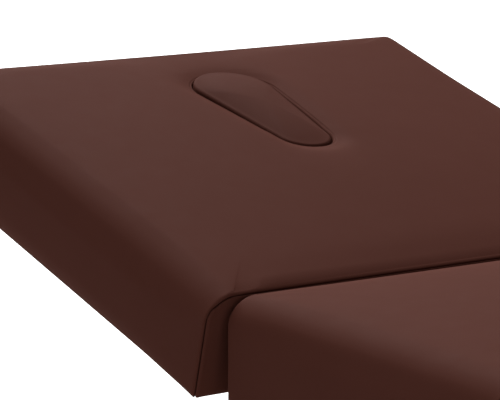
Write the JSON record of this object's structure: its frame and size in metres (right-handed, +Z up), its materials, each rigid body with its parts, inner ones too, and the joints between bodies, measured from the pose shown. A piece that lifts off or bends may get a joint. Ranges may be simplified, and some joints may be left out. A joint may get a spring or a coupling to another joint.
{
  "type": "electric massage table",
  "caption": "Three-section treatment bed: thick crowned cushions, tilting back with a teardrop face hole and plug, dropping leg rest, two telescopic columns on a covered base.",
  "frame": {"origin": "centre of the stored bed's bounding box on the floor, under its feet", "axes": "+X from the head end to the foot end, +Z up, +Y to the side that is on the right as one looks from the foot end to the head end"},
  "size_m": [1.8796, 0.7996, 0.7849],
  "materials": {
    "cushion_cover": "satin coated fabric over foam",
    "plug_cover": "satin coated fabric over foam",
    "plywood": "matte",
    "frame_paint": "satin",
    "column_paint": "satin",
    "cover_plastic": "matte",
    "glide_plastic": "satin",
    "black_plastic": "matte",
    "actuator_housing": "satin",
    "bright_steel": "satin",
    "foot_rubber": "matte"
  },
  "bodies": {
    "base": {"left_runner": "frame_paint", "right_runner": "frame_paint", "runner_caps": "black_plastic", "head_base_cross": "frame_paint", "foot_base_cross": "frame_paint", "outer_columns": "column_paint", "outer_glides": "glide_plastic", "lift_motors": "black_plastic", "base_cover": "cover_plastic", "rubber_feet": "foot_rubber", "base_bolts": "bright_steel"},
    "mid_stage": {"middle_columns": "column_paint", "middle_glides": "glide_plastic", "ram_sleeves": "bright_steel"},
    "chassis": {"inner_columns": "column_paint", "ram_rods": "bright_steel", "column_plates": "frame_paint", "left_chassis_rail": "frame_paint", "right_chassis_rail": "frame_paint", "head_seat_cross": "frame_paint", "foot_seat_cross": "frame_paint", "seat_board": "plywood", "seat_cushion": "cushion_cover", "guide_plates": "frame_paint", "guide_blocks": "glide_plastic", "actuator_arms": "frame_paint", "actuator_pins": "bright_steel", "leg_hinge_ears": "frame_paint", "leg_hinge_pins": "bright_steel", "control_box": "black_plastic", "power_inlet": "black_plastic", "handset_socket": "black_plastic"},
    "back": {"left_back_tube": "frame_paint", "right_back_tube": "frame_paint", "lower_back_cross": "frame_paint", "middle_back_cross": "frame_paint", "head_back_cross": "frame_paint", "left_guide_rail": "bright_steel", "right_guide_rail": "bright_steel", "rail_bolts": "bright_steel", "back_rod_bracket": "frame_paint", "back_board": "plywood", "back_cushion": "cushion_cover"},
    "face_plug": {"plug_base": "plywood", "plug_cushion": "plug_cover"},
    "leg": {"left_leg_tube": "frame_paint", "right_leg_tube": "frame_paint", "near_leg_cross": "frame_paint", "far_leg_cross": "frame_paint", "leg_knuckles": "frame_paint", "leg_bushes": "glide_plastic", "leg_rod_bracket": "frame_paint", "leg_board": "plywood", "leg_cushion": "cushion_cover"},
    "back_drive": {"back_actuator": "actuator_housing"},
    "back_drive_rod": {"back_rod": "bright_steel", "back_rod_pin": "bright_steel"},
    "leg_drive": {"leg_actuator": "actuator_housing"},
    "leg_drive_rod": {"leg_rod": "bright_steel", "leg_rod_pin": "bright_steel"}
  },
  "joints": [
    {"name": "height_lift", "type": "slide", "parent": "base", "child": "chassis", "axis": [0, 0, 1], "range_m": [0, 0.3]},
    {"name": "stage_slide", "type": "slide", "parent": "base", "child": "mid_stage", "axis": [0, 0, 1], "range_m": [0, 0.15]},
    {"name": "back_tilt", "type": "hinge", "parent": "chassis", "child": "back", "pos_m": [-0.20888, 0, 0.592], "axis": [0, 1, 0], "range_deg": [-15, 50]},
    {"name": "back_drive_swing", "type": "hinge", "parent": "chassis", "child": "back_drive", "pos_m": [0.03112, 0.125, 0.277], "axis": [0, 1, 0], "range_deg": [-5, 14.5]},
    {"name": "back_drive_extend", "type": "slide", "parent": "back_drive", "child": "back_drive_rod", "axis": [-0.9389, 0, 0.3442], "range_m": [-0.05, 0.165]},
    {"name": "leg_drop", "type": "hinge", "parent": "chassis", "child": "leg", "pos_m": [0.29712, 0, 0.45], "axis": [0, 1, 0], "range_deg": [0, 30]},
    {"name": "leg_drive_swing", "type": "hinge", "parent": "chassis", "child": "leg_drive", "pos_m": [-0.03288, -0.125, 0.35], "axis": [0, 1, 0], "range_deg": [0, 3]},
    {"name": "leg_drive_extend", "type": "slide", "parent": "leg_drive", "child": "leg_drive_rod", "axis": [1, 0, 0], "range_m": [-0.06, 0]},
    {"name": "plug_lift_out", "type": "slide", "parent": "back", "child": "face_plug", "axis": [0.2588, 0, 0.9659], "range_m": [0, 0.16]}
  ],
  "couplings": [
    {"joint": "stage_slide", "follows": "height_lift", "ratio": 0.5},
    {"joint": "back_drive_swing", "follows": "back_tilt", "ratio": 0.265},
    {"joint": "back_drive_extend", "follows": "back_tilt", "m_per_rad": 0.186},
    {"joint": "leg_drive_swing", "follows": "leg_drop", "ratio": 0.08},
    {"joint": "leg_drive_extend", "follows": "leg_drop", "m_per_rad": -0.107}
  ]
}
